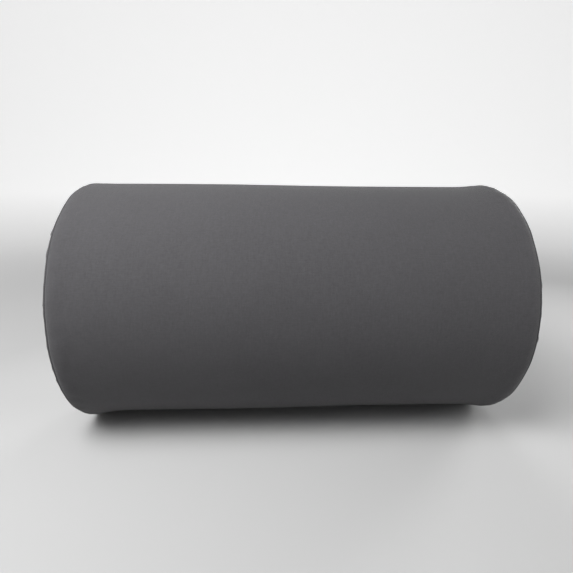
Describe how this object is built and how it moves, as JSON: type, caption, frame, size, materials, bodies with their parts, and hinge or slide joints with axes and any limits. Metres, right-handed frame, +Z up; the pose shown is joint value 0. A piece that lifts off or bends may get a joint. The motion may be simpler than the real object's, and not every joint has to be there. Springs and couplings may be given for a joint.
{
  "type": "bolster pillow",
  "caption": "Full-round bolster pillow: a foam roll in a padded liner inside a plain zipped fabric cover, for propping the neck, back or knees.",
  "frame": {"origin": "on the floor under the middle of the pillow: the centre of the bounding box's underside", "axes": "+X along the roll towards the end where the closed zip's slider sits, +Y towards the side with the zip, +Z up"},
  "size_m": [0.32, 0.178, 0.1755],
  "materials": {
    "cover_fabric": "matte charcoal plain-weave cloth",
    "thread": "sewing thread that matches the cloth",
    "liner_fabric": "off-white lining cloth",
    "wadding": "white polyester wadding",
    "foam": "pale yellow open-cell foam",
    "label_satin": "blank white satin label",
    "zip_tape": "dark woven zip tape",
    "zip_coil": "dark nylon",
    "zip_metal": "dark gunmetal plating"
  },
  "bodies": {
    "pillow": {"foam_core": "foam", "wadding_wrap": "wadding", "wadding_end_left": "wadding", "wadding_end_right": "wadding", "liner_tube": "liner_fabric", "liner_end_left": "liner_fabric", "liner_end_right": "liner_fabric", "liner_seam_thread_left": "thread", "liner_seam_thread_right": "thread", "cover_tube_panel": "cover_fabric", "cover_end_left": "cover_fabric", "cover_end_right": "cover_fabric", "end_seam_thread_left": "thread", "end_seam_thread_right": "thread", "care_label": "label_satin", "zip_tape_upper": "zip_tape", "zip_tape_lower": "zip_tape", "zip_chain_upper": "zip_coil", "zip_chain_lower": "zip_coil", "zip_stitch_upper": "thread", "zip_stitch_lower": "thread", "zip_top_stop_upper": "zip_metal", "zip_top_stop_lower": "zip_metal", "zip_bottom_stop": "zip_metal", "bar_tack_left": "thread", "bar_tack_right": "thread"},
    "zip_slider": {"zip_slider": "zip_metal"},
    "zip_pull": {"zip_pull": "zip_metal"}
  },
  "joints": [
    {"name": "zip_slide", "type": "slide", "parent": "pillow", "child": "zip_slider", "axis": [-1, 0, 0], "range_m": [0, 0.2426], "deforming": ["zip_chain_upper", "zip_chain_lower"]},
    {"name": "zip_pull_swing", "type": "hinge", "parent": "zip_slider", "child": "zip_pull", "pos_m": [0.1213, 0.07998, 0.13267], "axis": [0, 0.5, -0.866], "range_deg": [0, 180]}
  ]
}
